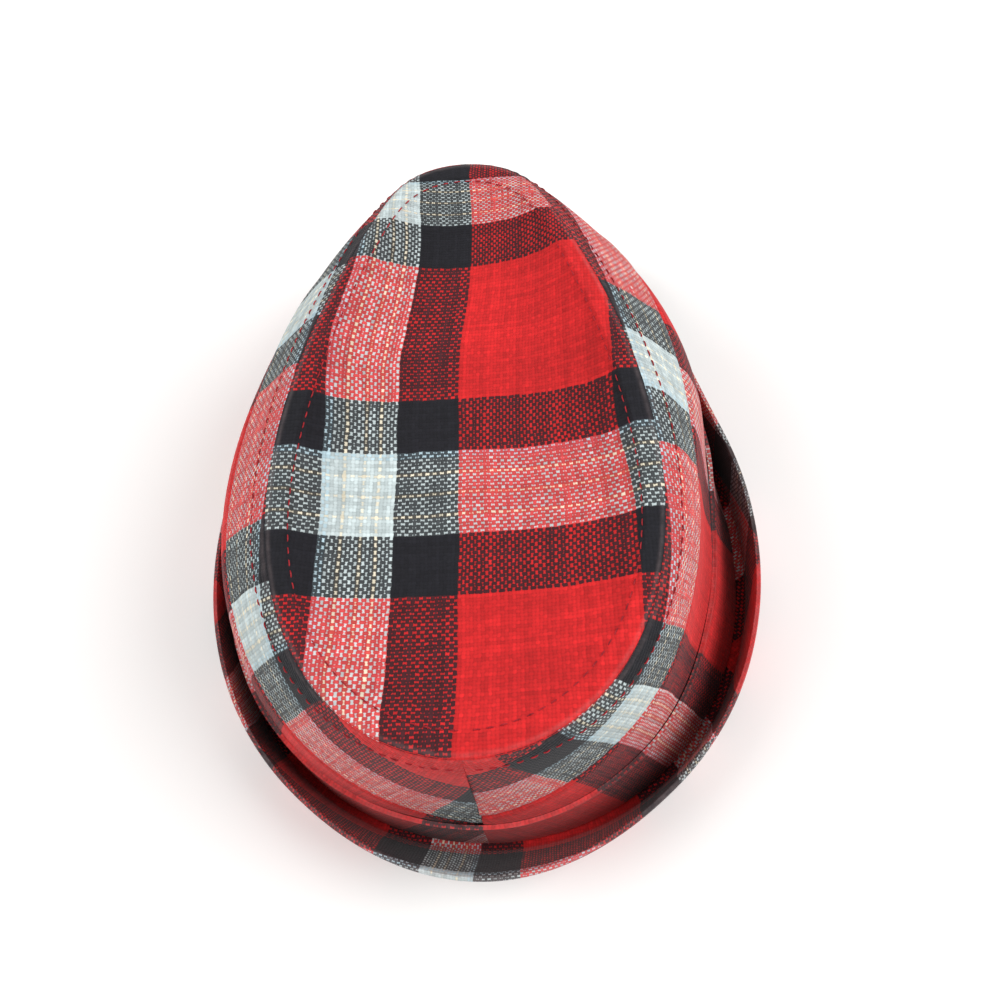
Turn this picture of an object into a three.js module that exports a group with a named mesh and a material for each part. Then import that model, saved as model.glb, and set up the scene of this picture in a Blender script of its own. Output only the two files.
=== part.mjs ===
// A cut-and-sew cloth fedora with a teardrop crown and a short brim turned up at the back and sides.
// Units are millimetres. +Z is up, the floor is Z = 0, the front of the hat is -Y and the wearer's left is +X.
import * as THREE from "three";

// Head oval, measured on the outer face of the crown where it meets the brim
const HEAD_WIDTH = 176;
const HEAD_LENGTH = 205;
const HEAD_EGG = 0.1; // how much wider the oval is behind its middle, as a share of its width

// Tip panel, the teardrop on top of the crown
const TIP_WIDTH = 105;
const TIP_LENGTH = 182;
const TIP_EGG = 0.25; // share of its width that moves from the front to the back
const TIP_NOSE = 0.35; // how much the front end is blunted, as a share of its width
const TIP_SHIFT = -1; // middle of the tip panel, along Y from the middle of the head oval
const CROWN_HEIGHT = 94; // seam of the tip panel above the floor at the back
const CROWN_RISE = 6; // how much higher that seam is at the front
const DENT_DEPTH = 11; // middle of the tip panel below its seam
const TIP_RIM = 6; // width of the raised rim between the seam and the dent
const DENT_POWER = 4; // a higher power gives a flatter floor and a steeper side to the dent

// Waist, the hollow in the crown side where it is pinched above the brim, deepest on the wearer's right
const WAIST_DEPTH = 14;
const WAIST_TOP = 0.95; // share of the height of the crown side at which the waist ends

// Cloth
const CROWN_CLOTH = 2.2; // cloth and stiffener together
const BRIM_CLOTH = 2;
const BAND_CLOTH = 1;
const FIT_GAP = 0.3; // gap left between pieces that touch
const SEAM_GAP = 0.35; // gap along a mitred seam, measured down the slope of each panel

// Hat band
const BAND_HEIGHT = 26;
const BAND_LIFT = 1.2; // lower edge of the band above the lower edge of the crown

// Brim
const BRIM_WIDTH = 42; // at the front, from the crown to the edge
const BRIM_TUCK = 3.2; // how far the brim reaches inside the outer face of the crown
const BRIM_LEDGE = 0.8; // flat width outside the crown before the brim bends
const BRIM_BEND = 3; // radius of the upper face in the bend
const LIFT_START = 120; // degrees round from the back where the lift begins
const LIFT_END = 170; // degrees round from the back where the lift is complete

// Badge, a plain domed disc on the outer face of the brim
const BADGE_DIAMETER = 14;
const BADGE_EDGE = 1; // thickness at its rim
const BADGE_DOME = 1.4; // how far the dome stands above the rim
const BADGE_TURN = 104; // degrees round from the back, on the wearer's left
const BADGE_DROP = 8.5; // middle of the badge below the edge of the brim, along the cloth

// How the hat changes from the back to the front.
// from: degrees round from the back. bulge: shape of the crown side, where 1 is straight and more is rounder.
// left and right: share of the waist depth on each side of the wearer, where below 0 the side stands proud.
// turn: degrees that the brim is turned up. width: share of the brim width.
const ROUND_TABLE = [
  { from: 0, bulge: 2.0, left: 0.14, right: 0.14, turn: 74, width: 0.79 },
  { from: 35, bulge: 2.6, left: 0.18, right: 0.57, turn: 86, width: 0.76 },
  { from: 70, bulge: 3.4, left: 0.21, right: 1, turn: 93, width: 0.74 },
  { from: 90, bulge: 3.5, left: 0.21, right: 0.86, turn: 93, width: 0.71 },
  { from: 108, bulge: 3.6, left: 0.2, right: 0.3, turn: 93, width: 0.69 },
  { from: 128, bulge: 3.8, left: 0.07, right: -0.15, turn: 80, width: 0.69 },
  { from: 140, bulge: 3.8, left: 0, right: -0.28, turn: 60, width: 0.7 },
  { from: 150, bulge: 3.8, left: 0, right: -0.3, turn: 34, width: 0.76 },
  { from: 162, bulge: 3.8, left: 0, right: -0.2, turn: -2, width: 0.92 },
  { from: 180, bulge: 3.8, left: 0, right: 0, turn: -15, width: 1 },
];

// Facets
const ROUND_STEPS = 84; // round the whole hat, an even number
const TIP_STEPS = 8;
const SIDE_STEPS = 10;
const BAND_STEPS = 3;
const BEND_STEPS = 5;
const FLAP_STEPS = 3;
const BADGE_STEPS = 24;
const DOME_STEPS = 4;

const FULL_TURN = 2 * Math.PI;
const TINY = 1e-4; // step for slopes

// Colours of the cloth and the metal
const CLOTH_RED = 0xa8343a;
const BRIM_RED = 0x6d2a32;
const GOLD = 0xd9b35a;

// Degrees round from the back of the hat, 0 to 180, on whichever side the angle lies.
function fromBack(angle) {
  const wrapped = Math.atan2(Math.sin(angle), Math.cos(angle));
  return THREE.MathUtils.radToDeg(Math.abs(wrapped));
}

// Slope of a column of the table at a row, flat at both ends and at a peak.
function rowSlope(column, row) {
  if (row === 0 || row === ROUND_TABLE.length - 1) return 0;
  const [before, here, after] = [ROUND_TABLE[row - 1], ROUND_TABLE[row], ROUND_TABLE[row + 1]];
  const rise = (here[column] - before[column]) * (after[column] - here[column]);
  return rise <= 0 ? 0 : (after[column] - before[column]) / (after.from - before.from);
}

// Smooth value of a column of the table at an angle.
function roundValue(column, angle) {
  const degrees = fromBack(angle);
  let row = 0;
  while (row < ROUND_TABLE.length - 2 && degrees > ROUND_TABLE[row + 1].from) row += 1;
  const [low, high] = [ROUND_TABLE[row], ROUND_TABLE[row + 1]];
  const span = high.from - low.from;
  const t = (degrees - low.from) / span;
  const ease = t * t * (3 - 2 * t);
  const lean = t * (1 - t) * (1 - t) * rowSlope(column, row) - t * t * (1 - t) * rowSlope(column, row + 1);
  return low[column] + (high[column] - low[column]) * ease + lean * span;
}

// An oval that is wider at the back, at an angle round from the back.
function oval(angle, width, length, egg, nose, middleY) {
  const back = Math.cos(angle);
  const fullness = 1 + egg * back + nose * Math.max(0, -back) ** 8;
  return new THREE.Vector2((width / 2) * Math.sin(angle) * fullness, middleY + (length / 2) * back);
}

// Width of the brim along the cloth, from the crown to the edge.
function brimWidth(angle) {
  return BRIM_WIDTH * roundValue("width", angle);
}

// The brim is the only piece that reaches past the head oval, so its two ends set the middle of the hat.
function brimReach(angle) {
  const turn = THREE.MathUtils.degToRad(roundValue("turn", angle));
  const arc = BRIM_BEND * Math.abs(turn);
  const flap = brimWidth(angle) - BRIM_LEDGE - arc;
  const outward = turn > 0 ? BRIM_CLOTH * Math.sin(turn) : 0;
  return BRIM_LEDGE + BRIM_BEND * Math.sin(Math.abs(turn)) + flap * Math.cos(turn) + outward;
}
const HEAD_Y = (brimReach(Math.PI) - brimReach(0)) / 2;

function headOval(angle) {
  return oval(angle, HEAD_WIDTH, HEAD_LENGTH, HEAD_EGG, 0, HEAD_Y);
}

function tipOval(angle) {
  return oval(angle, TIP_WIDTH, TIP_LENGTH, TIP_EGG, TIP_NOSE, HEAD_Y + TIP_SHIFT);
}

// Outward direction across the head oval.
function headOutward(angle) {
  const along = headOval(angle + TINY).sub(headOval(angle - TINY)).normalize();
  return new THREE.Vector2(-along.y, along.x);
}

// How far the edge of the brim falls at the front, so that it stands on the floor as the back of the brim does.
function frontFall() {
  const turn = THREE.MathUtils.degToRad(-roundValue("turn", Math.PI));
  const flap = BRIM_WIDTH - BRIM_LEDGE - BRIM_BEND * turn;
  return flap * Math.sin(turn) + (BRIM_BEND - BRIM_CLOTH) * (1 - Math.cos(turn));
}
const FRONT_LIFT = frontFall();

// Height of the flat ledge of the brim above the floor.
function ledgeHeight(angle) {
  return FRONT_LIFT * THREE.MathUtils.smoothstep(fromBack(angle), LIFT_START, LIFT_END);
}

function seamHeight(angle) {
  return CROWN_HEIGHT + (CROWN_RISE * (1 - Math.cos(angle))) / 2;
}

// Outer face of the crown side. up runs from 0 at the brim to 1 at the seam of the tip panel.
function sidePoint(angle, up) {
  const inward = up ** roundValue("bulge", angle);
  const pinch = Math.sin(Math.PI * Math.min(1, up / WAIST_TOP));
  const depth = WAIST_DEPTH * roundValue(Math.sin(angle) > 0 ? "left" : "right", angle) * pinch;
  const flat = headOval(angle).lerp(tipOval(angle), inward).addScaledVector(headOutward(angle), -depth);
  const foot = ledgeHeight(angle) + BRIM_CLOTH + FIT_GAP;
  return new THREE.Vector3(flat.x, flat.y, THREE.MathUtils.lerp(foot, seamHeight(angle), up));
}

// Outer face of the tip panel. out runs from 0 in the middle to 1 at the seam.
function tipPoint(angle, out) {
  const middle = new THREE.Vector2(0, HEAD_Y + TIP_SHIFT);
  const edge = tipOval(angle).sub(middle);
  const rimShare = 1 - TIP_RIM / edge.length();
  const dent = DENT_DEPTH * (1 - Math.min(1, out / rimShare) ** DENT_POWER);
  const flat = edge.clone().multiplyScalar(out).add(middle);
  const level = CROWN_HEIGHT + (CROWN_RISE * (1 - out * Math.cos(angle))) / 2;
  return new THREE.Vector3(flat.x, flat.y, level - dent);
}

function sideNormal(angle, up) {
  const along = sidePoint(angle + TINY, up).sub(sidePoint(angle - TINY, up));
  const rise = sidePoint(angle, up + TINY).sub(sidePoint(angle, up));
  const normal = along.cross(rise).normalize();
  return normal.dot(outwardFrom(angle)) < 0 ? normal.negate() : normal;
}

function outwardFrom(angle) {
  const outward = headOutward(angle);
  return new THREE.Vector3(outward.x, outward.y, 0);
}

function tipNormal(angle, out) {
  const along = tipPoint(angle + TINY, out).sub(tipPoint(angle - TINY, out));
  const across = tipPoint(angle, out).sub(tipPoint(angle, out - TINY));
  const normal = along.cross(across).normalize();
  return normal.z < 0 ? normal.negate() : normal;
}

// The seam of the tip panel at an angle: its outer and inner points, and the way down each panel from it.
function seamAt(angle) {
  const outer = sidePoint(angle, 1);
  const fromTip = tipNormal(angle, 1);
  const fromSide = sideNormal(angle, 1);
  const between = fromTip.clone().add(fromSide).normalize();
  const inner = outer.clone().addScaledVector(between, -CROWN_CLOTH / between.dot(fromSide));
  const intoTip = tipPoint(angle, 1 - TINY).sub(tipPoint(angle, 1)).setLength(SEAM_GAP / 2);
  const downSide = sidePoint(angle, 1 - TINY).sub(outer).setLength(SEAM_GAP / 2);
  return { outer, inner, intoTip, downSide };
}

// A closed body through a row of closed loops of equal length.
// ends: "joined" runs the last loop back to the first, "pointed" closes both ends to given points,
// and "folded" closes each end loop across itself.
function bodyThrough(loops, ends, endPoints = []) {
  const count = loops[0].length;
  const points = [...loops.flat(), ...endPoints];
  const faces = [];
  const spans = ends === "joined" ? loops.length : loops.length - 1;
  for (let i = 0; i < spans; i += 1) {
    const here = i * count;
    const next = ((i + 1) % loops.length) * count;
    for (let j = 0; j < count; j += 1) {
      const k = (j + 1) % count;
      faces.push([here + j, next + j, next + k], [here + j, next + k, here + k]);
    }
  }
  const last = (loops.length - 1) * count;
  if (ends === "pointed") {
    const first = points.length - 2;
    for (let j = 0; j < count; j += 1) {
      const k = (j + 1) % count;
      faces.push([first, j, k], [first + 1, last + k, last + j]);
    }
  }
  if (ends === "folded") {
    for (let j = 0; j < count / 2 - 1; j += 1) {
      const opposite = count - 1 - j;
      faces.push([j, j + 1, opposite - 1], [j, opposite - 1, opposite]);
      faces.push([last + j, last + opposite - 1, last + j + 1], [last + j, last + opposite, last + opposite - 1]);
    }
  }
  return facingOut(points, faces);
}

// Flat-shaded geometry whose faces point out of the body.
function facingOut(points, faces) {
  const volume = faces.reduce((sum, [a, b, c]) => {
    return sum + points[a].dot(points[b].clone().cross(points[c]));
  }, 0);
  const turned = volume < 0 ? faces.map(([a, b, c]) => [a, c, b]) : faces;
  const geometry = new THREE.BufferGeometry();
  geometry.setAttribute("position", new THREE.Float32BufferAttribute(points.flatMap((p) => p.toArray()), 3));
  geometry.setIndex(turned.flat());
  const facets = geometry.toNonIndexed();
  facets.computeVertexNormals();
  return facets;
}

// Evenly spaced values from start to end, both included.
function spread(start, end, steps) {
  return Array.from({ length: steps + 1 }, (_, i) => start + ((end - start) * i) / steps);
}

const ROUND_ANGLES = spread(0, FULL_TURN, ROUND_STEPS).slice(0, -1);

// Tip panel: rings on the outer face from the middle to the seam, then rings on the inner face back again.
function tipBody() {
  const rings = spread(0, 1, TIP_STEPS).slice(1, -1);
  const inside = (angle, out) => tipPoint(angle, out).addScaledVector(tipNormal(angle, out), -CROWN_CLOTH);
  const outerRings = rings.map((out) => ROUND_ANGLES.map((angle) => tipPoint(angle, out)));
  const innerRings = rings.map((out) => ROUND_ANGLES.map((angle) => inside(angle, out)));
  const seams = ROUND_ANGLES.map(seamAt);
  const outerEdge = seams.map(({ outer, intoTip }) => outer.clone().add(intoTip));
  const innerEdge = seams.map(({ inner, intoTip }) => inner.clone().add(intoTip));
  const top = tipPoint(0, 0);
  const under = top.clone().setZ(top.z - CROWN_CLOTH);
  return bodyThrough([...outerRings, outerEdge, innerEdge, ...innerRings.reverse()], "pointed", [top, under]);
}

// One side of the crown, from the seam at the back to the seam at the front.
function sideBody(side) {
  const backShare = FIT_GAP / HEAD_WIDTH / (1 + HEAD_EGG);
  const frontShare = FIT_GAP / HEAD_WIDTH / (1 - HEAD_EGG);
  const angles = spread(backShare, Math.PI - frontShare, ROUND_STEPS / 2);
  const rows = spread(0, 1, SIDE_STEPS).slice(0, -1);
  const loops = angles.map((share) => {
    const angle = side * share;
    const { outer, inner, downSide } = seamAt(angle);
    const outerRows = rows.map((up) => sidePoint(angle, up));
    const innerRows = rows.map((up) => sidePoint(angle, up).addScaledVector(sideNormal(angle, up), -CROWN_CLOTH));
    innerRows[0].z = outerRows[0].z;
    return [...outerRows, outer.add(downSide), inner.add(downSide), ...innerRows.reverse()];
  });
  const atCentreSeam = (loop) => loop.forEach((point) => point.setX((side * FIT_GAP) / 2));
  atCentreSeam(loops[0]);
  atCentreSeam(loops[loops.length - 1]);
  return bodyThrough(loops, "folded");
}

// Hat band, a strip of the same cloth round the foot of the crown.
function bandBody() {
  const loops = ROUND_ANGLES.map((angle) => {
    const foot = sidePoint(angle, 0).z;
    const rise = seamHeight(angle) - foot;
    const rows = spread(BAND_LIFT / rise, (BAND_LIFT + BAND_HEIGHT) / rise, BAND_STEPS);
    const off = (up, distance) => sidePoint(angle, up).addScaledVector(sideNormal(angle, up), distance);
    const outerRows = rows.map((up) => off(up, FIT_GAP + BAND_CLOTH));
    const innerRows = rows.map((up) => off(up, FIT_GAP));
    return [...outerRows, ...innerRows.reverse()];
  });
  return bodyThrough(loops, "joined");
}

// Upper face of the brim at a distance along the cloth from the crown, and the direction out of that face.
function brimFace(angle, along) {
  const turn = THREE.MathUtils.degToRad(roundValue("turn", angle));
  const arc = BRIM_BEND * Math.abs(turn);
  const bent = THREE.MathUtils.clamp(along - BRIM_LEDGE, 0, arc);
  const flap = Math.max(0, along - BRIM_LEDGE - arc);
  const slope = (Math.sign(turn) * bent) / BRIM_BEND;
  const out = Math.min(along, BRIM_LEDGE) + BRIM_BEND * Math.sin(bent / BRIM_BEND) + flap * Math.cos(turn);
  const rise = Math.sign(turn) * BRIM_BEND * (1 - Math.cos(slope)) + flap * Math.sin(turn);
  const outward = outwardFrom(angle);
  const flat = headOval(angle);
  const point = new THREE.Vector3(flat.x, flat.y, ledgeHeight(angle) + BRIM_CLOTH + rise);
  point.addScaledVector(outward, out);
  const normal = new THREE.Vector3(0, 0, Math.cos(slope)).addScaledVector(outward, -Math.sin(slope));
  return { point, normal };
}

// Lower or outer face of the brim at a distance along the cloth from the crown.
function brimBack(angle, along) {
  const { point, normal } = brimFace(angle, along);
  return point.addScaledVector(normal, -BRIM_CLOTH);
}

function brimBody() {
  const loops = ROUND_ANGLES.map((angle) => {
    const turn = THREE.MathUtils.degToRad(roundValue("turn", angle));
    const bendEnd = BRIM_LEDGE + BRIM_BEND * Math.abs(turn);
    const bend = spread(BRIM_LEDGE, bendEnd, BEND_STEPS);
    const flap = spread(bendEnd, brimWidth(angle), FLAP_STEPS).slice(1);
    const rows = [-BRIM_TUCK, ...bend, ...flap];
    const upper = rows.map((along) => brimFace(angle, along).point);
    const lower = rows.map((along) => brimBack(angle, along));
    return [...upper, ...lower.reverse()];
  });
  return bodyThrough(loops, "joined");
}

// Badge: a disc with a shallow dome, turned about its own axis and set against the outer face of the brim.
function badgeBody() {
  const radius = BADGE_DIAMETER / 2;
  const dome = spread(0, 1, DOME_STEPS).map((share) => {
    const swing = (share * Math.PI) / 2;
    return new THREE.Vector2(radius * Math.cos(swing), BADGE_EDGE + BADGE_DOME * Math.sin(swing));
  });
  dome[DOME_STEPS].x = 0;
  const profile = [new THREE.Vector2(0, 0), new THREE.Vector2(radius, 0), ...dome];
  const geometry = new THREE.LatheGeometry(profile, BADGE_STEPS);
  const angle = THREE.MathUtils.degToRad(BADGE_TURN);
  const along = brimWidth(angle) - BADGE_DROP;
  const { normal } = brimFace(angle, along);
  const away = normal.negate();
  const toAway = new THREE.Quaternion().setFromUnitVectors(new THREE.Vector3(0, 1, 0), away);
  const seat = brimBack(angle, along).addScaledVector(away, FIT_GAP);
  return geometry.applyQuaternion(toAway).translate(seat.x, seat.y, seat.z);
}

function cloth(color) {
  return new THREE.MeshStandardMaterial({ color, roughness: 0.9, metalness: 0, flatShading: true });
}

function metal(color) {
  return new THREE.MeshStandardMaterial({ color, roughness: 0.25, metalness: 1 });
}

function piece(name, geometry, material) {
  const mesh = new THREE.Mesh(geometry, material);
  mesh.name = name;
  return mesh;
}

const group = new THREE.Group();
group.name = "fedora";
group.add(
  piece("crown_tip", tipBody(), cloth(CLOTH_RED)),
  piece("crown_side_left", sideBody(1), cloth(CLOTH_RED)),
  piece("crown_side_right", sideBody(-1), cloth(CLOTH_RED)),
  piece("hat_band", bandBody(), cloth(CLOTH_RED)),
  piece("brim", brimBody(), cloth(BRIM_RED)),
  piece("badge", badgeBody(), metal(GOLD)),
);

export default group;
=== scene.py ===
"""A cut-and-sew plaid fedora, seen from above and behind, on a plain pale floor.

Lengths are millimetres in the hat's own frame and become metres when a mesh is made.
The front of the hat is -Y, the wearer's left is +X, and angles run round from the back.
"""
import math

import bmesh
import bpy
import numpy as np
from mathutils import Matrix


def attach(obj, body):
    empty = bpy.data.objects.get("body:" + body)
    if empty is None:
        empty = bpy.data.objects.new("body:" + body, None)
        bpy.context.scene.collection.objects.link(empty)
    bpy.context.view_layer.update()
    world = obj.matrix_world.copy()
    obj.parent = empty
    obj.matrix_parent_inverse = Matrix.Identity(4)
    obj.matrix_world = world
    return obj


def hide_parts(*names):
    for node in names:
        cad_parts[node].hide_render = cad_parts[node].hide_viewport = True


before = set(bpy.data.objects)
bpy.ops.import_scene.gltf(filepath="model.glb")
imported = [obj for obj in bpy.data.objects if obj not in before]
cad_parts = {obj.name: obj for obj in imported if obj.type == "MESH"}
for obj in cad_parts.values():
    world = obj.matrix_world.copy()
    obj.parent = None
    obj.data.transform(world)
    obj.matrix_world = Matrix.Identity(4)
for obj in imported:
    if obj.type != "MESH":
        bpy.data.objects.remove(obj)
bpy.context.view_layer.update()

# Shape of the hat, the same values as its solids
HEAD_WIDTH, HEAD_LENGTH, HEAD_EGG = 176.0, 205.0, 0.1
TIP_WIDTH, TIP_LENGTH, TIP_EGG, TIP_NOSE, TIP_SHIFT = 105.0, 182.0, 0.25, 0.35, -1.0
CROWN_HEIGHT, CROWN_RISE = 94.0, 6.0
DENT_DEPTH, TIP_RIM, DENT_POWER = 11.0, 6.0, 4.0
WAIST_DEPTH, WAIST_TOP = 14.0, 0.95
CROWN_CLOTH, BRIM_CLOTH, BAND_CLOTH = 2.2, 2.0, 1.0
FIT_GAP, SEAM_GAP = 0.3, 0.35
BAND_HEIGHT, BAND_LIFT = 26.0, 1.2
BRIM_WIDTH, BRIM_TUCK, BRIM_LEDGE, BRIM_BEND = 42.0, 3.2, 0.8, 3.0
LIFT_START, LIFT_END = 120.0, 170.0
BADGE_DIAMETER, BADGE_EDGE, BADGE_DOME = 14.0, 1.0, 1.4
BADGE_TURN, BADGE_DROP = 104.0, 8.5

# Degrees round from the back, shape of the side, shares of the waist on the left and on the right,
# degrees that the brim is turned up, share of its width
ROUND_TABLE = np.array([
    (0, 2.0, 0.14, 0.14, 74, 0.79),
    (35, 2.6, 0.18, 0.57, 86, 0.76),
    (70, 3.4, 0.21, 1.0, 93, 0.74),
    (90, 3.5, 0.21, 0.86, 93, 0.71),
    (108, 3.6, 0.2, 0.3, 93, 0.69),
    (128, 3.8, 0.07, -0.15, 80, 0.69),
    (140, 3.8, 0.0, -0.28, 60, 0.7),
    (150, 3.8, 0.0, -0.3, 34, 0.76),
    (162, 3.8, 0.0, -0.2, -2, 0.92),
    (180, 3.8, 0.0, 0.0, -15, 1.0),
])
BULGE, WAIST_LEFT, WAIST_RIGHT, TURN, WIDTH = 1, 2, 3, 4, 5

TINY = 1e-4
HOLLOW_MIDDLE = 40.0  # height of a place inside the hat that its outer faces point away from
SHARP_EDGE = 38  # degrees between two faces past which their edge isn't smoothed


def smoothstep(low, high, value):
    t = np.clip((value - low) / (high - low), 0, 1)
    return t * t * (3 - 2 * t)


def bell(distance, height, width, middle=0.0):
    return height * np.exp(-((distance - middle) / width) ** 2)


def from_back(angle):
    return np.degrees(np.abs(np.arctan2(np.sin(angle), np.cos(angle))))


def round_value(column, angle):
    """Smooth value of a column of the table, flat at both ends and at a peak."""
    at, values = ROUND_TABLE[:, 0], ROUND_TABLE[:, column]
    slopes = np.zeros(len(at))
    for k in range(1, len(at) - 1):
        if (values[k] - values[k - 1]) * (values[k + 1] - values[k]) > 0:
            slopes[k] = (values[k + 1] - values[k - 1]) / (at[k + 1] - at[k - 1])
    degrees = from_back(angle)
    row = np.clip(np.searchsorted(at, degrees, side="right") - 1, 0, len(at) - 2)
    span = at[row + 1] - at[row]
    t = (degrees - at[row]) / span
    lean = t * (1 - t) ** 2 * slopes[row] - t * t * (1 - t) * slopes[row + 1]
    return values[row] + (values[row + 1] - values[row]) * t * t * (3 - 2 * t) + lean * span


def brim_reach(angle):
    turn = math.radians(float(round_value(TURN, angle)))
    arc = BRIM_BEND * abs(turn)
    flap = BRIM_WIDTH * float(round_value(WIDTH, angle)) - BRIM_LEDGE - arc
    outward = BRIM_CLOTH * math.sin(turn) if turn > 0 else 0
    return BRIM_LEDGE + BRIM_BEND * math.sin(abs(turn)) + flap * math.cos(turn) + outward


HEAD_Y = (brim_reach(math.pi) - brim_reach(0.0)) / 2


def front_fall():
    turn = math.radians(-float(round_value(TURN, math.pi)))
    flap = BRIM_WIDTH - BRIM_LEDGE - BRIM_BEND * turn
    return flap * math.sin(turn) + (BRIM_BEND - BRIM_CLOTH) * (1 - math.cos(turn))


FRONT_LIFT = front_fall()


def stack(*parts):
    return np.stack(np.broadcast_arrays(*parts), -1)


def oval(angle, width, length, egg, nose, middle_y):
    back = np.cos(angle)
    fullness = 1 + egg * back + nose * np.clip(-back, 0, None) ** 8
    return stack(width / 2 * np.sin(angle) * fullness, middle_y + length / 2 * back)


def head_oval(angle):
    return oval(angle, HEAD_WIDTH, HEAD_LENGTH, HEAD_EGG, 0, HEAD_Y)


def tip_oval(angle):
    return oval(angle, TIP_WIDTH, TIP_LENGTH, TIP_EGG, TIP_NOSE, HEAD_Y + TIP_SHIFT)


def unit(vectors):
    return vectors / np.linalg.norm(vectors, axis=-1, keepdims=True)


def head_outward(angle):
    along = unit(head_oval(angle + TINY) - head_oval(angle - TINY))
    return stack(-along[..., 1], along[..., 0])


def ledge_height(angle):
    return FRONT_LIFT * smoothstep(LIFT_START, LIFT_END, from_back(angle))


def seam_height(angle):
    return CROWN_HEIGHT + CROWN_RISE * (1 - np.cos(angle)) / 2


def side_point(angle, up):
    """Outer face of the crown side, from 0 at the brim to 1 at the seam of the tip panel."""
    inward = np.clip(up, 0, None) ** round_value(BULGE, angle)
    pinch = np.sin(np.pi * np.clip(up / WAIST_TOP, 0, 1))
    waist = np.where(np.sin(angle) > 0, round_value(WAIST_LEFT, angle), round_value(WAIST_RIGHT, angle))
    depth = WAIST_DEPTH * waist * pinch
    flat = head_oval(angle) * (1 - inward)[..., None] + tip_oval(angle) * inward[..., None]
    flat = flat - head_outward(angle) * depth[..., None]
    foot = ledge_height(angle) + BRIM_CLOTH + FIT_GAP
    return stack(flat[..., 0], flat[..., 1], foot + (seam_height(angle) - foot) * up)


def tip_point(angle, out):
    """Outer face of the tip panel, from 0 in the middle to 1 at its seam."""
    middle = np.array([0.0, HEAD_Y + TIP_SHIFT])
    edge = tip_oval(angle) - middle
    rim_share = 1 - TIP_RIM / np.linalg.norm(edge, axis=-1)
    dent = DENT_DEPTH * (1 - np.minimum(1, out / rim_share) ** DENT_POWER)
    flat = edge * out[..., None] + middle
    level = CROWN_HEIGHT + CROWN_RISE * (1 - out * np.cos(angle)) / 2
    return stack(flat[..., 0], flat[..., 1], level - dent)


def grid_normals(points, around=False):
    """Normals of a grid of points, turned so that they point away from the head."""
    if around:
        along = np.roll(points, -1, 0) - np.roll(points, 1, 0)
    else:
        along = np.gradient(points, axis=0)
    across = np.gradient(points, axis=1)
    normals = np.cross(along, across)
    length = np.linalg.norm(normals, axis=-1, keepdims=True)
    normals = normals / np.maximum(length, 1e-9)
    middle = np.array([0.0, HEAD_Y, HOLLOW_MIDDLE])
    outward = np.sum(normals * (points - middle), -1, keepdims=True)
    return np.where(outward < 0, -normals, normals)


def arc_length(points, axis=0):
    steps = np.linalg.norm(np.diff(points, axis=axis), axis=-1)
    start = np.zeros_like(np.take(steps, [0], axis=axis))
    return np.concatenate([start, np.cumsum(steps, axis=axis)], axis=axis)


def ripple(angle, seed, waves, size):
    """A smooth uneven wave round the hat, the same at both ends of the turn."""
    rng = np.random.default_rng(seed)
    total = np.zeros_like(angle, dtype=float)
    for _ in range(6):
        total += np.sin(rng.integers(waves[0], waves[1]) * angle + rng.uniform(0, 2 * np.pi)) / 6
    return size * total


def make_mesh(name, points, faces, corner_uv, wear, material):
    """A piece from points in millimetres. corner_uv has cloth coordinates for each corner of each face."""
    mesh = bpy.data.meshes.new(name)
    mesh.from_pydata((points * 0.001).tolist(), [], faces)
    uv = mesh.uv_layers.new(name="cloth")
    uv.data.foreach_set("uv", np.asarray(corner_uv, dtype=np.float32).ravel())
    attribute = mesh.attributes.new("wear", "FLOAT", "POINT")
    attribute.data.foreach_set("value", np.asarray(wear, dtype=np.float32))
    shape = bmesh.new()
    shape.from_mesh(mesh)
    bmesh.ops.recalc_face_normals(shape, faces=shape.faces)
    for face in shape.faces:
        face.smooth = True
    for edge in shape.edges:
        edge.smooth = edge.calc_face_angle(0.0) < math.radians(SHARP_EDGE)
    shape.to_mesh(mesh)
    shape.free()
    mesh.materials.append(material)
    piece = bpy.data.objects.new(name, mesh)
    bpy.context.scene.collection.objects.link(piece)
    return piece


def shell(name, points, cloth_uv, wear, material, round_joined, wrap=None):
    """A closed body from a grid of section loops: points[i, j], with the loop closed over j.

    cloth_uv has one more row than points where the last loop joins the first. wrap gives the cloth
    coordinates at which the outer cloth ends after it has gone round the edge between its two faces.
    """
    rows, count = points.shape[:2]
    faces, corners = [], []
    spans = rows if round_joined else rows - 1
    for i in range(spans):
        n = (i + 1) % rows
        for j in range(count):
            k = (j + 1) % count
            faces.append((i * count + j, n * count + j, n * count + k, i * count + k))
            corners += [cloth_uv[i, j], cloth_uv[i + 1, j]]
            if wrap is not None and k == count // 2:
                corners += [wrap[i + 1], wrap[i]]
            else:
                corners += [cloth_uv[i + 1, k], cloth_uv[i, k]]
    if not round_joined:
        for i in (0, rows - 1):
            for j in range(count // 2 - 1):
                quad = (j, j + 1, count - 2 - j, count - 1 - j)
                faces.append(tuple(i * count + q for q in quad))
                corners += [cloth_uv[i, q] for q in quad]
    flat = points.reshape(-1, 3)
    return make_mesh(name, flat, faces, corners, wear.ravel(), material)


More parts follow.
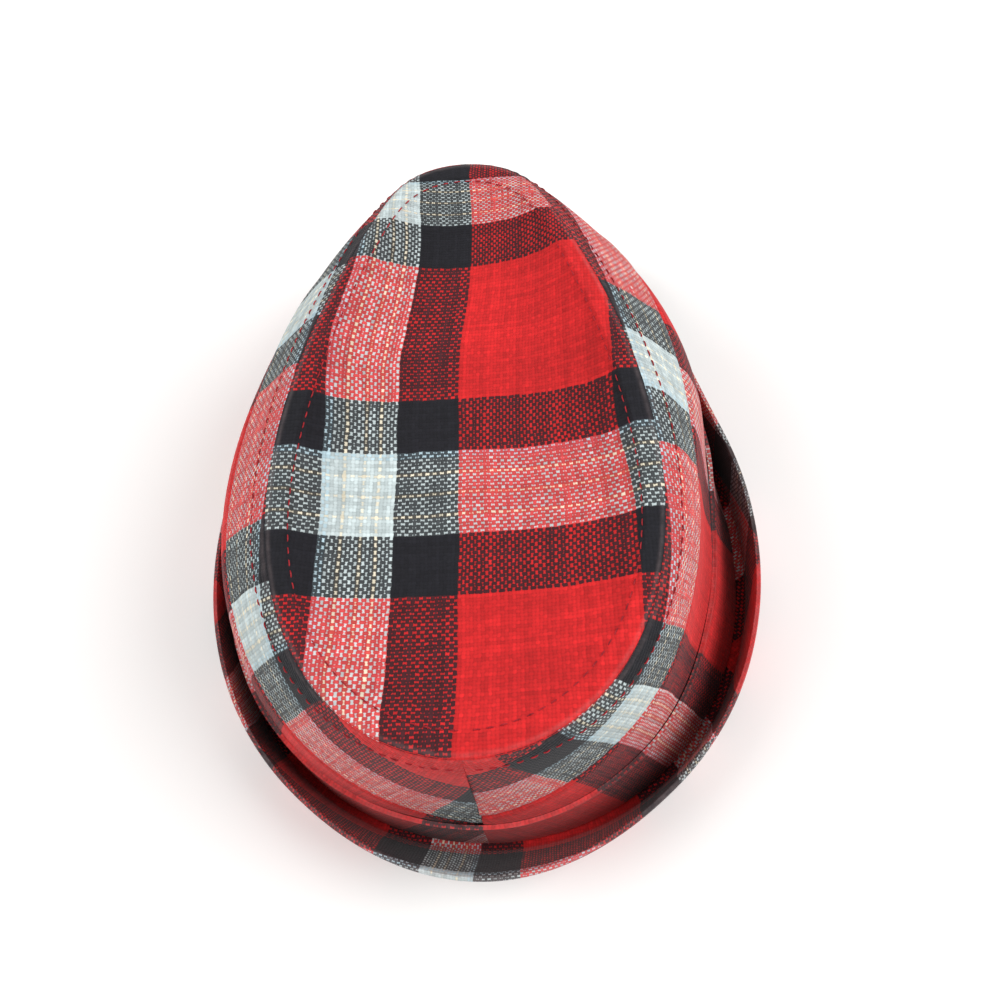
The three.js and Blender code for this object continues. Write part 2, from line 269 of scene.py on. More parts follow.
class Nodes:
    """Short calls for building one material's nodes."""

    def __init__(self, name):
        self.material = bpy.data.materials.new(name)
        self.material.use_nodes = True
        self.tree = self.material.node_tree
        self.shader = self.tree.nodes["Principled BSDF"]

    def node(self, kind, **values):
        made = self.tree.nodes.new(kind)
        for key, value in values.items():
            setattr(made, key, value)
        return made

    def put(self, socket, value):
        if isinstance(value, (int, float, tuple, list)):
            socket.default_value = value
        else:
            self.tree.links.new(value, socket)

    def math(self, operation, *values, clamp=False):
        made = self.node("ShaderNodeMath", operation=operation, use_clamp=clamp)
        for socket, value in zip(made.inputs, values):
            self.put(socket, value)
        return made.outputs[0]

    def add(self, first, *others):
        for other in others:
            first = self.math("ADD", first, other)
        return first

    def times(self, first, *others):
        for other in others:
            first = self.math("MULTIPLY", first, other)
        return first

    def vector(self, x, y, z=0.0):
        made = self.node("ShaderNodeCombineXYZ")
        for socket, value in zip(made.inputs, (x, y, z)):
            self.put(socket, value)
        return made.outputs[0]

    def noise(self, vector, scale, detail=2.0, roughness=0.5):
        made = self.node("ShaderNodeTexNoise")
        self.put(made.inputs["Vector"], vector)
        made.inputs["Scale"].default_value = scale
        made.inputs["Detail"].default_value = detail
        made.inputs["Roughness"].default_value = roughness
        return made.outputs["Fac"]

    def random(self, vector):
        made = self.node("ShaderNodeTexWhiteNoise", noise_dimensions="2D")
        self.put(made.inputs["Vector"], vector)
        return made.outputs["Value"]

    def step(self, value, low, high, rise):
        """A smooth step from 0 to rise, as the value goes from low to high."""
        made = self.node("ShaderNodeMapRange", interpolation_type="SMOOTHSTEP")
        self.put(made.inputs["Value"], value)
        made.inputs["From Min"].default_value = low
        made.inputs["From Max"].default_value = high
        made.inputs["To Max"].default_value = rise
        return made.outputs[0]

    def ramp(self, fac, stops, interpolation="CONSTANT"):
        made = self.node("ShaderNodeValToRGB")
        made.color_ramp.interpolation = interpolation
        elements = made.color_ramp.elements
        while len(elements) > 1:
            elements.remove(elements[-1])
        elements[0].position = stops[0][0]
        elements[0].color = (*stops[0][1], 1)
        for position, colour in stops[1:]:
            elements.new(position).color = (*colour, 1)
        self.put(made.inputs["Fac"], fac)
        return made.outputs["Color"]

    def mix(self, fac, a, b, blend="MIX"):
        made = self.node("ShaderNodeMix", data_type="RGBA", blend_type=blend)
        self.put(made.inputs[0], fac)
        self.put(made.inputs[6], a)
        self.put(made.inputs[7], b)
        return made.outputs[2]

    def brightness(self, colour):
        made = self.node("ShaderNodeRGBToBW")
        self.put(made.inputs[0], colour)
        return made.outputs[0]

    def spread(self, value, low, high):
        """Takes 0 to 1 to low to high."""
        return self.math("MULTIPLY_ADD", value, high - low, low)

    def bump(self, height, strength, distance):
        made = self.node("ShaderNodeBump")
        made.inputs["Strength"].default_value = strength
        made.inputs["Distance"].default_value = distance
        self.put(made.inputs["Height"], height)
        return made.outputs[0]

    def surface(self, sockets):
        for name, value in sockets.items():
            self.put(self.shader.inputs[name], value)
        return self.material


def linear(red, green, blue):
    """Linear colour from an 8-bit one."""
    def one(value):
        value /= 255
        return value / 12.92 if value <= 0.04045 else ((value + 0.055) / 1.055) ** 2.4
    return one(red), one(green), one(blue)


YARN = 1.051  # spacing of the yarns
WARP_YARNS, WEFT_YARNS = (19, 17, 46), (24, 17, 43)  # pale, black and red yarns in one repeat
RED = linear(205, 34, 36)
BLACK = linear(27, 27, 33)
PALE = linear(192, 205, 206)
BLUE = linear(186, 212, 222)
CREAM = linear(232, 224, 200)
RUBBED = (0.55, 0.42, 0.42, 1)
LIFT = 0.42  # how far a crossing lifts the yarn on top and lowers the other, in yarn heights
DARK_HIDES = 0.64  # dark yarns show more of a crossing with a pale one: the dark yarn seen in the gaps, and painted shade where the pale yarn gets no light bounced from pale neighbours
CONTRAST = 8.0  # makes any pair of a dark and a pale yarn differ by the whole of DARK_HIDES
# A fold in the sides, under the pale row: its row, the cloth it hides and the width of its line
FOLD_DROP, FOLD_TAKES, FOLD_WIDE = 25.5, 17.3, 0.3


def stripes(pale_yarns, black_yarns, red_yarns):
    """Colour stops of one repeat of the plaid, as shares of the repeat, and its number of yarns.

    The pale stripe starts blue and has three cream yarns. The second black stripe is a yarn narrower.
    """
    total = pale_yarns + 2 * black_yarns - 1 + red_yarns
    quarter = pale_yarns / 4
    stops = [(0, BLUE), (2, PALE)]
    for line in (1, 2, 3):
        place = round(line * quarter)
        stops += [(place, CREAM), (place + 1, PALE)]
    stops += [(pale_yarns, BLACK), (pale_yarns + black_yarns, RED), (total - black_yarns + 1, BLACK)]
    return [(place / total, colour) for place, colour in stops], total


def plaid(name, folded=False):
    """Yarn-dyed plain weave: the top yarn of each crossing gives the colour."""
    n = Nodes(name)
    split = n.node("ShaderNodeSeparateXYZ")
    n.put(split.inputs[0], n.node("ShaderNodeUVMap", uv_map="cloth").outputs[0])
    u, v = split.outputs[0], split.outputs[1]
    if folded:
        v = n.add(v, n.step(v, FOLD_DROP, FOLD_DROP + FOLD_WIDE, FOLD_TAKES))

    def over_cloth(seed, scale, low, high, detail=2.0, roughness=0.5):
        """Smooth noise over the cloth."""
        return n.spread(n.noise(n.vector(u, v, seed), scale, detail, roughness), low, high)

    def chance(x, y, low, high):
        """One random value for each yarn or crossing."""
        return n.spread(n.random(n.vector(x, y)), low, high)

    def yarn_at(place, drift_seed, jitter_seed):
        """The yarn's number and its roundness, 1 along its middle. Yarns wander a little."""
        drift = over_cloth(drift_seed, 0.045, -0.8, 0.8)
        jitter = over_cloth(jitter_seed, 0.55, -0.3, 0.3, 1.0)
        at = n.math("DIVIDE", n.add(place, drift, jitter), YARN)
        yarn = n.math("FLOOR", at)
        across = n.math("SUBTRACT", n.math("SUBTRACT", at, yarn), 0.5)
        return yarn, n.math("COSINE", n.times(across, math.pi))

    def slubs(x, y, low, high):
        """Thick and thin places along each yarn."""
        return n.spread(n.noise(n.vector(x, y), 1.0, 1.0), low, high)

    def yarn_colour(yarn, counts):
        stops, total = stripes(*counts)
        turn = n.add(n.math("FLOORED_MODULO", yarn, float(total)), 0.5)
        return n.ramp(n.math("DIVIDE", turn, float(total)), stops)

    warp, warp_round = yarn_at(u, 3.0, 9.0)
    weft, weft_round = yarn_at(v, 47.0, 21.0)

    # Height of both yarns at a crossing
    over = n.math("FLOORED_MODULO", n.add(warp, weft), 2.0)
    sign = n.math("MULTIPLY_ADD", over, -2.0, 1.0)
    warp_slubs = slubs(n.times(warp, 7.31), n.times(v, 0.11), -0.55, 0.75)
    weft_slubs = slubs(n.times(u, 0.11), n.times(weft, 5.77), -0.55, 0.55)
    warp_height = n.add(n.times(sign, weft_round, LIFT), warp_round, warp_slubs)
    weft_height = n.add(n.times(sign, warp_round, -LIFT), weft_round, weft_slubs)
    height = n.math("MAXIMUM", warp_height, weft_height)

    # Which yarn shows, and its colour
    warp_colour, weft_colour = yarn_colour(warp, WARP_YARNS), yarn_colour(weft, WEFT_YARNS)
    # Partly painted shade: where a pale and a dark yarn cross, the pale one is given less of the crossing,
    # as it gets no bounced light from pale neighbours
    paler = n.math("SUBTRACT", n.brightness(warp_colour), n.brightness(weft_colour))
    paler = n.math("MINIMUM", n.math("MAXIMUM", n.times(paler, CONTRAST), -1.0), 1.0)
    ahead = n.math("MULTIPLY_ADD", paler, -DARK_HIDES, n.math("SUBTRACT", warp_height, weft_height))
    ahead = n.add(ahead, chance(warp, 3.5, -0.28, 0.28), chance(3.5, weft, -0.16, 0.16))
    shows = n.spread(n.math("MULTIPLY_ADD", ahead, 1.6, 0.53, clamp=True), 0.08, 0.92)
    colour = n.mix(shows, weft_colour, warp_colour)

    # Tone: yarn to yarn, crossing to crossing and slow changes over the cloth, times painted shade on the
    # low sides of the rounded yarns and in the gaps between them
    yarns = n.times(chance(warp, 0.5, 0.86, 1.08), chance(0.5, weft, 0.88, 1.06))
    fuzz = over_cloth(0.0, 5.0, 0.82, 1.18, 3.0, 0.7)
    slow = over_cloth(80.0, 0.02, 0.86, 1.12, 3.0)
    # Painted shade: the lower a place on the yarns, the darker it is painted
    painted_gap_shade = n.spread(n.math("MULTIPLY_ADD", height, 1.1, -0.38, clamp=True), 0.77, 0.97)
    tone = n.times(yarns, n.times(chance(warp, weft, 0.84, 1.1), fuzz), slow, painted_gap_shade)
    shade = n.node("ShaderNodeCombineColor")
    for socket in shade.inputs:
        n.put(socket, tone)
    colour = n.mix(1.0, colour, shade.outputs[0], "MULTIPLY")

    # Worn, rubbed edges are paler
    wear = n.node("ShaderNodeAttribute", attribute_name="wear").outputs["Fac"]
    rubbed = n.math("MULTIPLY", wear, over_cloth(5.0, 0.35, -0.05, 0.42, 3.0), clamp=True)
    return n.surface({
        "Base Color": n.mix(rubbed, colour, RUBBED),
        "Roughness": over_cloth(31.0, 0.8, 0.78, 0.97),
        "Specular IOR Level": 0.25,
        "Sheen Weight": 0.07,
        "Sheen Roughness": 0.45,
        "Normal": n.bump(n.add(height, n.times(fuzz, 0.35)), 0.4, 0.00028),
    })


def thread_material():
    n = Nodes("topstitch_thread")
    place = n.node("ShaderNodeTexCoord").outputs["Object"]
    colours = [(0.3, linear(112, 22, 30)), (0.7, linear(172, 40, 48))]
    return n.surface({
        "Base Color": n.ramp(n.noise(place, 900.0, 3.0, 0.6), colours, "LINEAR"),
        "Roughness": n.spread(n.noise(place, 1400.0), 0.55, 0.8),
        "Specular IOR Level": 0.2,
        "Normal": n.bump(n.noise(place, 2600.0, 2.0), 0.4, 0.0001),
    })


def gold_material():
    n = Nodes("gold_metal")
    place = n.node("ShaderNodeTexCoord").outputs["Object"]
    colours = [(0.3, linear(205, 160, 70)), (0.7, linear(246, 214, 128))]
    return n.surface({
        "Base Color": n.ramp(n.noise(place, 500.0, 4.0), colours, "LINEAR"),
        "Metallic": 1.0,
        "Roughness": n.spread(n.noise(place, 900.0, 4.0), 0.14, 0.36),
        "Normal": n.bump(n.noise(place, 3000.0, 3.0), 0.15, 0.00005),
    })


def floor_material():
    n = Nodes("pale_floor")
    place = n.node("ShaderNodeTexCoord").outputs["Object"]
    colours = [(0.3, (0.87, 0.86, 0.85)), (0.7, (0.9, 0.892, 0.884))]
    return n.surface({
        "Base Color": n.ramp(n.noise(place, 1.5, 3.0), colours, "LINEAR"),
        "Roughness": n.spread(n.noise(place, 4.0, 3.0), 0.6, 0.75),
    })


CROWN = plaid("crown_plaid")
SIDE = plaid("side_plaid", folded=True)
BAND = plaid("band_plaid")
BRIM = plaid("brim_plaid")
THREAD = thread_material()

TIP_PLACE = (40.2, 102.5)  # cloth coordinates at the middle of the head oval
TIP_SKEW = 0.033  # slope of the rows on the tip panel
TIP_ROLL_FROM = -58  # the cloth is eased round the nose of the tip in front of this


def tip_cloth(flat):
    """Cloth coordinates on the tip panel from a place seen from above."""
    x = flat[..., 0]
    y = flat[..., 1] - HEAD_Y
    # The cloth drifts to the wearer's right towards the front, and is eased in on that side
    front = smoothstep(-21, -71, y)
    right = np.where(x < 0, 0.09 * smoothstep(24, -8, y), 0)
    across = x * (1 + right) + front * (4.5 + 0.13 * x)
    roll = 0.0225 * np.clip(TIP_ROLL_FROM - y, 0, None) ** 2
    return stack(TIP_PLACE[0] - across, y + TIP_PLACE[1] - TIP_SKEW * x - roll)


SIDE_RADIUS = 328.0  # radius of the seam in the flat pattern of a side piece
SIDE_ARC = 15.0  # the length along a side is measured about this far below the seam
SIDE_PLACE = 0.5  # row of the plaid at the seam, at the middle of a side

# Side of the hat, where the cloth's columns begin, and how much more its rows dip towards the back
SIDES = ((1, 65.5, 1.25), (-1, 33.0, 1.1))


def side_cloth(arc, half, down, first_pale, dip):
    """Cloth coordinates on a side piece, which is cut as an arc of a ring."""
    swing = (arc - half) / (SIDE_RADIUS + SIDE_ARC)
    radius = SIDE_RADIUS + down
    row = radius * np.cos(np.where(swing < 0, dip * swing, swing)) - SIDE_RADIUS + SIDE_PLACE
    return stack(radius * np.sin(swing) + half - first_pale, row)


RING_TURN = 0.5  # share of the turn of the head oval that is cut into the flat ring of the brim
RING_CORNER, CORNER_FROM = 0.4, 60  # more turn where the brim heads this many degrees off the back
RING_EASE = 1.23  # length of cloth eased into the edge of the brim
RING_STRETCH = 0.8  # cloth across the brim for each millimetre of it
RING_PLACE = (-3.3, 3.0)  # cloth coordinates of its edge at the back


def brim_cloth(turns, edge, short_of_edge):
    """Cloth coordinates on the brim, cut as a flat ring. turns goes from the front round to the front."""
    outward = head_outward(turns)
    heading = np.unwrap(np.arctan2(outward[:, 0], outward[:, 1]))
    back = len(turns) // 2
    heading = heading - heading[back]
    past_corner = np.clip(np.abs(heading) - math.radians(CORNER_FROM), 0, None)
    heading = RING_TURN * heading + RING_CORNER * np.sign(heading) * past_corner
    between = (heading[1:] + heading[:-1]) / 2
    step = RING_EASE * np.linalg.norm(np.diff(edge, axis=0), axis=1)
    u = np.concatenate([[0], np.cumsum(np.cos(between) * step)])
    v = np.concatenate([[0], np.cumsum(-np.sin(between) * step)])
    u, v = (u - u[back] + RING_PLACE[0])[:, None], (v - v[back] + RING_PLACE[1])[:, None]
    inward = RING_STRETCH * short_of_edge
    return stack(u - inward * np.sin(heading)[:, None], v - inward * np.cos(heading)[:, None])


def both_faces(values):
    """Values for the outer face and, in turn, the same ones for the inner face."""
    return np.concatenate([values, values[:, ::-1]], 1)


def settle(angle, from_seam):
    """Relief beside a seam: the cloth sinks into it and has small puckers along it."""
    pucker = ripple(angle, 5, (60, 130), 0.22) * bell(from_seam, 1.0, 4.5, 4)
    return pucker - bell(from_seam, 0.55, 0.9)


def seam_wear(from_seam):
    return bell(from_seam, 0.35, 0.6, 1.2)


def make_tip():
    """The tip panel: rings of points on both of its faces, closed at the middle by two poles."""
    turns = np.linspace(0, 2 * np.pi, 361)[:-1]
    shares = np.concatenate([np.linspace(0.012, 0.86, 46), np.linspace(0.87, 1, 26)])
    angle, out = np.meshgrid(turns, shares, indexing="ij")
    outer = tip_point(angle, out)
    length = np.linalg.norm(tip_oval(angle) - np.array([0, HEAD_Y + TIP_SHIFT]), axis=-1)
    from_seam = (1 - out) * length
    normals = grid_normals(outer, around=True)
    relief = settle(angle, from_seam)
    x, y = outer[..., 0], outer[..., 1]
    # Soft unevenness away from the seam
    relief += 0.45 * np.sin(x / 13 + 1.0) * np.sin(y / 19 + 0.6) * smoothstep(3, 15, from_seam)
    cloth = both_faces(tip_cloth(outer))
    inner = outer - normals * CROWN_CLOTH
    outer = outer + normals * relief[..., None]
    outer[:, -1] -= unit(outer[:, -1] - outer[:, -2]) * SEAM_GAP / 2
    outward = head_outward(turns)
    seam_slant = unit(normals[:, -1] + 0.6 * stack(outward[:, 0], outward[:, 1], 0))
    inner[:, -1] = outer[:, -1] - seam_slant * CROWN_CLOTH
    points = np.concatenate([outer, inner[:, ::-1]], 1)
    wear = both_faces(seam_wear(from_seam))
    rows, count = points.shape[:2]
    top = tip_point(np.zeros(1), np.zeros(1))[0]
    under = top - np.array([0, 0, CROWN_CLOTH])
    all_points = np.concatenate([points.reshape(-1, 3), [top, under]])
    middle = tip_cloth(top[None])[0]
    faces, corners = [], []
    for i in range(rows):
        n = (i + 1) % rows
        for j in range(count - 1):
            faces.append((i * count + j, n * count + j, n * count + j + 1, i * count + j + 1))
            corners += [cloth[i, j], cloth[n, j], cloth[n, j + 1], cloth[i, j + 1]]
        for pole, j in ((rows * count, 0), (rows * count + 1, count - 1)):
            faces.append((pole, n * count + j, i * count + j))
            corners += [middle, cloth[n, j], cloth[i, j]]
    worn = np.concatenate([wear.ravel(), [0, 0]])
    return make_mesh("tip_panel_cloth", all_points, faces, corners, worn, CROWN)


SIDE_END = 0.02  # distance of a side's end faces from the middle plane of the hat
SHOULDER_UP = 0.85  # share of a side's height at which its length is measured


def side_grid(side, along_steps, ups):
    """Points on a side from the back seam to the front, with their drops below the tip and arc lengths."""
    share = np.linspace(0, 1, along_steps)
    back_share = FIT_GAP / HEAD_WIDTH / (1 + HEAD_EGG)
    front_share = FIT_GAP / HEAD_WIDTH / (1 - HEAD_EGG)
    turns = side * (back_share + (np.pi - front_share - back_share) * share)
    angle, up = np.meshgrid(turns, ups, indexing="ij")
    outer = side_point(angle, up)
    drop = arc_length(outer[:, ::-1], axis=1)[:, ::-1]
    shoulder = side_point(turns, np.full_like(turns, SHOULDER_UP))
    arc = arc_length(shoulder[:, None])[:, :1] * np.ones_like(up)
    return angle, up, outer, drop, arc


def make_side(name, side, first_pale, dip):
    ups = np.concatenate([np.linspace(0, 0.8, 34), np.linspace(0.812, 1, 30)])
    angle, up, outer, drop, arc = side_grid(side, 220, ups)
    half = arc[-1, 0] / 2
    end = np.minimum(arc, 2 * half - arc)
    normals = grid_normals(outer)
    relief = settle(angle, drop) - bell(end, 0.3, 0.9)
    relief += 0.5 * np.sin(arc / 17 + 2 * side) * np.sin(drop / 15 + side) * smoothstep(2, 14, drop)
    cloth = side_cloth(arc, half, drop, first_pale, dip)
    # A ridge above the fold and a groove along it
    past_fold = cloth[..., 1] - FOLD_DROP
    relief += bell(past_fold, 0.5, 3.0, -4) - bell(past_fold, 1.5, 1.6, 0.8)
    inner = outer - normals * CROWN_CLOTH
    outer = outer + normals * relief[..., None] * smoothstep(0, 0.06, up)[..., None]
    inner[:, 0, 2] = outer[:, 0, 2]
    down = unit(outer[:, -2] - outer[:, -1])
    outer[:, -1] += down * SEAM_GAP / 2
    inner[:, -1] = outer[:, -1] - unit(normals[:, -1] + np.array([0, 0, 0.8])) * CROWN_CLOTH
    points = np.concatenate([outer, inner[:, ::-1]], 1)
    points[[0, -1], :, 0] = side * SIDE_END
    return shell(name, points, both_faces(cloth), both_faces(seam_wear(drop)), SIDE, False)


BAND_ROW = 52.0  # place of the upper edge of the band in the repeat of the rows


def make_band():
    """A strip of the same cloth, cut so that its columns run on from the sides."""
    half_turn = np.linspace(0.0, np.pi - 0.002, 241)  # stops just short of the front, where the halves join
    turns = np.concatenate([half_turn, 2 * np.pi - half_turn[::-1]])
    foot = side_point(turns, np.zeros_like(turns))[:, 2]
    rise = seam_height(turns) - foot
    across = np.linspace(0, 1, 14)
    up = (BAND_LIFT + BAND_HEIGHT * across[None]) / rise[:, None]
    angle = turns[:, None] * np.ones_like(up)
    base = side_point(angle, up)
    normals = unit(np.cross(side_point(angle + TINY, up) - side_point(angle - TINY, up),
                            side_point(angle, up + TINY) - side_point(angle, up - TINY)))
    outward = head_outward(turns)
    facing = np.sum(normals[..., :2] * outward[:, None], -1, keepdims=True)
    normals = normals * np.sign(facing)
    height = BAND_HEIGHT * (1 - across)
    fold = bell(height, 0.35, 1.6)
    wave = ripple(angle, 11, (9, 26), 0.25)
    outer = base + normals * (FIT_GAP + BAND_CLOTH + fold[None] + np.abs(wave))[..., None]
    inner = base + normals * FIT_GAP
    cloth = []
    for side, first_pale, dip in SIDES:
        ups = np.linspace(0, 1, 60)
        _, _, _, drop, arc = side_grid(side, len(half_turn), ups)
        rows = up[:len(half_turn)]
        down = np.array([np.interp(rows[i], ups, drop[i]) for i in range(len(half_turn))])
        column = side_cloth(arc[:, :1] * np.ones_like(down), arc[-1, 0] / 2, down, first_pale, dip)[..., 0]
        cloth.append(stack(column, BAND_ROW + height[None]))
    cloth = np.concatenate([cloth[0], cloth[1][::-1]])
    points = np.concatenate([outer, inner[:, ::-1]], 1)[:-1]
    wrap = cloth[:, -1] - np.array([0, BAND_CLOTH])
    wear = both_faces(np.ones((len(points), 1)) * bell(height, 0.5, 1.2))
    return shell("band_cloth", points, both_faces(cloth), wear, BAND, True, wrap)


def brim_face(angle, along):
    """Upper face of the brim and its normal, at a distance along the cloth from the head oval."""
    turn = np.radians(round_value(TURN, angle))
    arc = BRIM_BEND * np.abs(turn)
    bent = np.clip(along - BRIM_LEDGE, 0, arc)
    flap = np.clip(along - BRIM_LEDGE - arc, 0, None)
    slope = np.sign(turn) * bent / BRIM_BEND
    out = np.minimum(along, BRIM_LEDGE) + BRIM_BEND * np.sin(bent / BRIM_BEND) + flap * np.cos(turn)
    rise = np.sign(turn) * BRIM_BEND * (1 - np.cos(slope)) + flap * np.sin(turn)
    outward, flat = head_outward(angle), head_oval(angle)
    place = flat + outward * out[..., None]
    point = stack(place[..., 0], place[..., 1], ledge_height(angle) + BRIM_CLOTH + rise)
    lean = outward * -np.sin(slope)[..., None]
    normal = stack(lean[..., 0], lean[..., 1], np.cos(slope))
    return point, normal


def make_brim():
    turns = np.linspace(-np.pi, np.pi, 481)
    turn = np.abs(np.radians(round_value(TURN, turns)))
    bend_end = BRIM_LEDGE + BRIM_BEND * turn
    width = BRIM_WIDTH * round_value(WIDTH, turns)
    first = np.full_like(turns, -BRIM_TUCK)[:, None]
    bend = BRIM_LEDGE + (bend_end - BRIM_LEDGE)[:, None] * np.linspace(0, 1, 9)[None]
    flap = bend_end[:, None] + (width - bend_end)[:, None] * np.linspace(0, 1, 26)[None, 1:]
    along = np.concatenate([first, bend, flap], 1)
    angle = turns[:, None] * np.ones_like(along)
    upper, normal = brim_face(angle, along)
    edge = upper[:, -1].copy()
    from_edge = width[:, None] - along
    lift = smoothstep(8, 20, along)
    wave = ripple(angle, 23, (5, 15), 0.5) * lift
    from_join = np.linalg.norm(upper - upper[:1], axis=-1)
    wave -= bell(from_join, 0.5, 0.9)
    upper = upper + normal * wave[..., None]
    pinch = bell(from_edge, 0.45, 0.8)
    lower = upper - normal * (BRIM_CLOTH - pinch)[..., None]
    upper = upper - normal * pinch[..., None]
    cloth = brim_cloth(turns, edge, from_edge)
    wrap = brim_cloth(turns, edge, np.full((len(turns), 1), -BRIM_CLOTH))[:, 0]
    points = np.concatenate([upper, lower[:, ::-1]], 1)[:-1]
    wear = both_faces(bell(from_edge, 0.6, 1.2))[:-1]
    return shell("brim_cloth_shell", points, both_faces(cloth), wear, BRIM, True, wrap)


def tube(points, normals, radius, sides=6):
    """Rings round a path, tapered at both ends."""
    along = unit(np.gradient(points, axis=0))
    across = unit(np.cross(along, normals))
    up = np.cross(across, along)
    taper = np.sqrt(np.clip(1 - np.linspace(-1, 1, len(points)) ** 6, 0.06, 1))
    turns = np.linspace(0, 2 * np.pi, sides + 1)[:-1]
    ring = np.cos(turns)[None, :, None] * across[:, None] + np.sin(turns)[None, :, None] * up[:, None]
    return points[:, None] + ring * (radius * taper)[:, None, None]


def join_tubes(name, tubes, material):
    """One piece from tubes, each a row of rings that is closed at both ends."""
    points, faces = [], []
    for rings in tubes:
        start = sum(len(p) for p in points)
        steps, sides = rings.shape[:2]
        points.append(rings.reshape(-1, 3))
        for i in range(steps - 1):
            for j in range(sides):
                k = (j + 1) % sides
                a = start + i * sides
                faces.append((a + j, a + k, a + sides + k, a + sides + j))
        faces.append(tuple(start + j for j in range(sides)))
        faces.append(tuple(start + (steps - 1) * sides + j for j in reversed(range(sides))))
    flat = np.concatenate(points)
    corners = np.zeros((sum(len(f) for f in faces), 2))
    return make_mesh(name, flat, faces, corners, np.zeros(len(flat)), material)


STITCH_PITCH, STITCH_LENGTH, THREAD_RADIUS = 3.4, 2.1, 0.2
TIP_INSET, SIDE_INSET = 7.0, 6.0  # distances of the two rows of stitches from the seam of the tip
TIP_SEAT, SIDE_SEAT = 0.05, 0.12  # heights of their paths above the cloth
EVEN_OUT = 12  # points on each side that the path on the sides is evened out over
STITCH_POINTS = 7


def stitches(path, normals):
    """Short raised stitches along a path of closely spaced points."""
    arc = arc_length(path[:, None])[:, 0]
    made = []
    start = 1.0
    rng = np.random.default_rng(7)
    while start + STITCH_LENGTH < arc[-1]:
        length = STITCH_LENGTH * rng.uniform(0.9, 1.1)
        at = np.linspace(start, start + length, STITCH_POINTS)
        place = np.stack([np.interp(at, arc, path[:, k]) for k in range(3)], -1)
        up = unit(np.stack([np.interp(at, arc, normals[:, k]) for k in range(3)], -1))
        hump = THREAD_RADIUS * (1.5 * np.sin(np.linspace(0, np.pi, STITCH_POINTS)) ** 0.6 - 0.6)
        made.append(tube(place + up * hump[:, None], up, THREAD_RADIUS))
        start += STITCH_PITCH * rng.uniform(0.95, 1.05)
    return made


def make_tip_stitches():
    turns = np.linspace(0, 2 * np.pi, 2401)
    length = np.linalg.norm(tip_oval(turns) - np.array([0, HEAD_Y + TIP_SHIFT]), axis=-1)
    out = 1 - TIP_INSET / length
    path = tip_point(turns, out)
    normals = np.cross(tip_point(turns + TINY, out) - path, tip_point(turns, out + TINY) - path)
    normals = unit(np.where(normals[:, 2:] < 0, -normals, normals))
    path = path + normals * (settle(turns, np.full_like(turns, TIP_INSET)) + TIP_SEAT)[:, None]
    return join_tubes("tip_topstitch", stitches(path, normals), THREAD)


def make_side_stitches():
    made = []
    ups = np.linspace(0.8, 1, 60)
    for side in (1, -1):
        _, _, outer, drop, _ = side_grid(side, 1200, ups)
        normals = grid_normals(outer)
        row = np.argmin(np.abs(drop - SIDE_INSET), axis=1)
        pick = np.arange(len(row))
        path = outer[pick, row]
        normal = normals[pick, row]
        kernel = np.ones(2 * EVEN_OUT + 1) / (2 * EVEN_OUT + 1)
        padded = np.pad(path, ((EVEN_OUT, EVEN_OUT), (0, 0)), mode="edge")
        path = np.stack([np.convolve(padded[:, k], kernel, "valid") for k in range(3)], -1)
        path = path + normal * SIDE_SEAT
        made += stitches(path[8:-8], normal[8:-8])
    return join_tubes("side_topstitch", made, THREAD)


# Shares of the badge's radius and heights, from the middle of its back over its rolled rim
BADGE_RIM = (
    (0, 0), (0.94, 0), (0.985, 0.15), (1, 0.5),
    (0.985, 0.95), (0.95, 1.12), (0.9, 1.1), (0.86, 0.98),
)
DOME_SHARE, DOME_FOOT = 0.85, 0.98


def make_badge():
    """Domed disc with a rolled rim, set against the outer face of the brim."""
    angle = np.array([math.radians(BADGE_TURN)])
    along = BRIM_WIDTH * round_value(WIDTH, angle) - BADGE_DROP
    point, normal = brim_face(angle, along)
    away = -normal[0]
    seat = point[0] - normal[0] * BRIM_CLOTH + away * FIT_GAP
    side = unit(np.cross(away, np.array([0, 0, 1.0])))
    up = np.cross(side, away)
    swing = np.linspace(0, math.pi / 2, 14)[1:]
    rise = BADGE_EDGE + BADGE_DOME - DOME_FOOT
    dome = [(DOME_SHARE * math.cos(s), DOME_FOOT + rise * math.sin(s)) for s in swing]
    turns = np.linspace(0, 2 * np.pi, 97)[:-1]
    ring = np.cos(turns)[:, None] * side + np.sin(turns)[:, None] * up
    reach = BADGE_DIAMETER / 2
    profile = (*BADGE_RIM, *dome)
    rings = np.array([seat + ring * max(reach * share, 0.02) + away * lift for share, lift in profile])
    return join_tubes("gold_badge", [rings], gold_material())


PIECES = (
    (make_tip(), "crown_tip", "crown_cloth"),
    (make_side("side_left_cloth", *SIDES[0]), "crown_side_left", "crown_cloth"),
    (make_side("side_right_cloth", *SIDES[1]), "crown_side_right", "crown_cloth"),
    (make_band(), "hat_band", "band_cloth"),
    (make_brim(), "brim", "brim_cloth"),
    (make_badge(), "badge", "gold_metal"),
    (make_tip_stitches(), "crown_tip", "crown_cloth"),
    (make_side_stitches(), "crown_side_left", "crown_cloth"),
)
for made, node, slot in PIECES:
    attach(made, "root")
    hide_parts(node)


FLOOR_HALF, FLOOR_DROP = 4.0, 0.0003  # metres; the floor lies a little under the hat
LIGHT_SIZE = 0.8
LIGHTS = (  # name, place in metres, power in watts
    ("side_right", (-0.8, 0.05, 0.8), 10.5),
    ("side_left", (0.8, 0.1, 0.8), 7.8),
    ("front", (0.0, -0.9, 0.8), 1.0),
)
SKY, SKY_STRENGTH = (1.0, 0.985, 0.97, 1), 0.46
CAMERA_TILT, CAMERA_ASIDE, CAMERA_ROLL = 24, 3, -0.6  # degrees
CAMERA_PLACE = (-22.519, 120.634, 315.217)  # millimetres, from the middle of the head oval
CAMERA_LENS, CAMERA_SENSOR, CAMERA_NEAR = 32.4, 36, 0.01


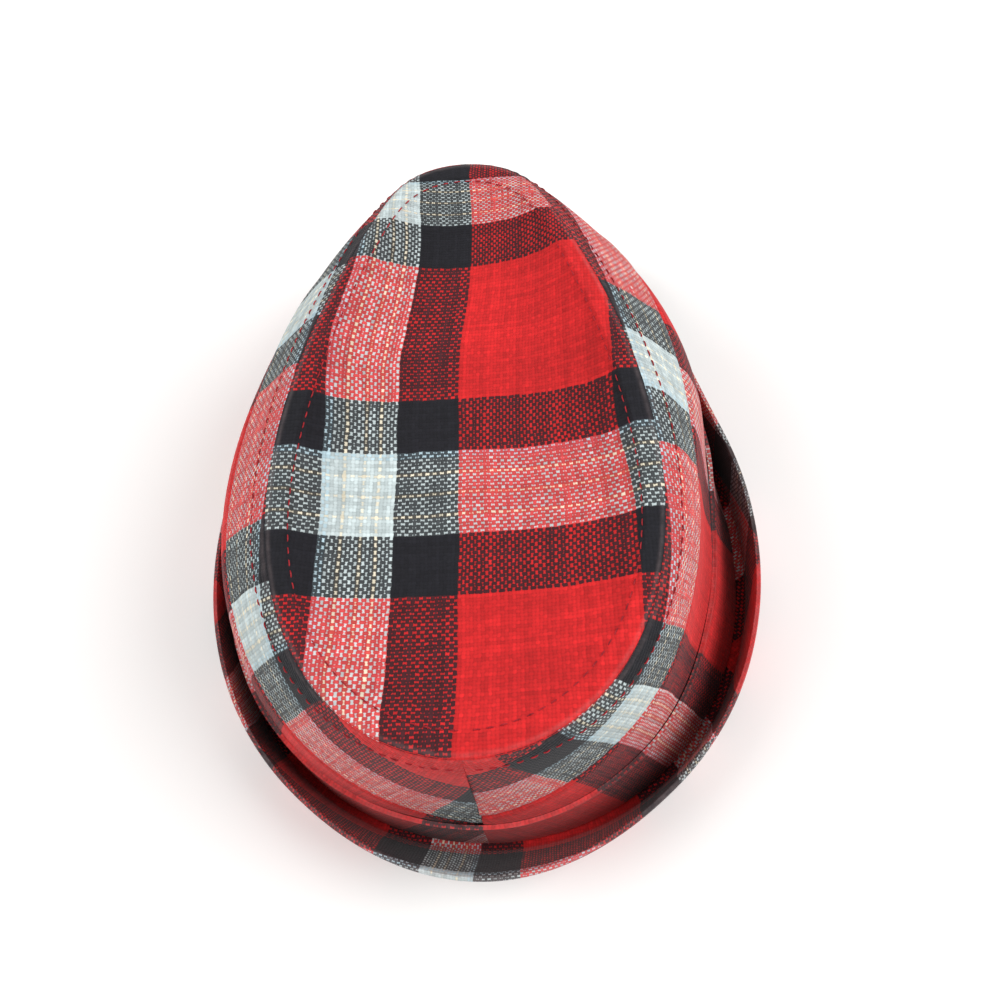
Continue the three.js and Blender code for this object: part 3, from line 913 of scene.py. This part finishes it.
def make_floor():
    half = FLOOR_HALF
    mesh = bpy.data.meshes.new("floor")
    corners = [(-half, -half, 0), (half, -half, 0), (half, half, 0), (-half, half, 0)]
    mesh.from_pydata(corners, [], [(0, 1, 2, 3)])
    mesh.materials.append(floor_material())
    floor = bpy.data.objects.new("floor", mesh)
    floor.location.z = -FLOOR_DROP
    bpy.context.scene.collection.objects.link(floor)


def make_light(name, place, energy):
    """A soft disc light that faces the origin."""
    light = bpy.data.lights.new(name, "AREA")
    light.shape = "DISK"
    light.size = LIGHT_SIZE
    light.energy = energy
    lamp = bpy.data.objects.new(name, light)
    lamp.location = place
    lamp.rotation_euler = (-lamp.location).to_track_quat("-Z", "Y").to_euler()
    bpy.context.scene.collection.objects.link(lamp)


def make_world():
    world = bpy.data.worlds.new("studio")
    world.use_nodes = True
    background = world.node_tree.nodes["Background"]
    background.inputs["Color"].default_value = SKY
    background.inputs["Strength"].default_value = SKY_STRENGTH
    bpy.context.scene.world = world
    bpy.context.scene.view_settings.view_transform = "Standard"


def make_camera():
    """Above the hat and behind it, tilted off the vertical."""
    tilt, aside, roll = (math.radians(value) for value in (CAMERA_TILT, CAMERA_ASIDE, CAMERA_ROLL))
    level = math.cos(aside)
    back = unit(np.array([-math.sin(aside), math.sin(tilt) * level, math.cos(tilt) * level]))
    right = unit(np.cross(-back, np.array([0, -1.0, 0])))
    up = np.cross(right, -back)
    right, up = right * math.cos(roll) + up * math.sin(roll), up * math.cos(roll) - right * math.sin(roll)
    camera = bpy.data.cameras.new("camera")
    camera.sensor_fit = "HORIZONTAL"
    camera.sensor_width = CAMERA_SENSOR
    camera.lens = CAMERA_LENS
    camera.clip_start = CAMERA_NEAR
    holder = bpy.data.objects.new("camera", camera)
    turned = np.eye(4)
    place = (np.array(CAMERA_PLACE) + np.array([0, HEAD_Y, 0])) * 0.001
    turned[:3, 0], turned[:3, 1], turned[:3, 2], turned[:3, 3] = right, up, back, place
    holder.matrix_world = Matrix(turned.tolist())
    bpy.context.scene.collection.objects.link(holder)
    bpy.context.scene.camera = holder


make_floor()
make_world()
for light_name, light_place, light_energy in LIGHTS:
    make_light(light_name, light_place, light_energy)
make_camera()
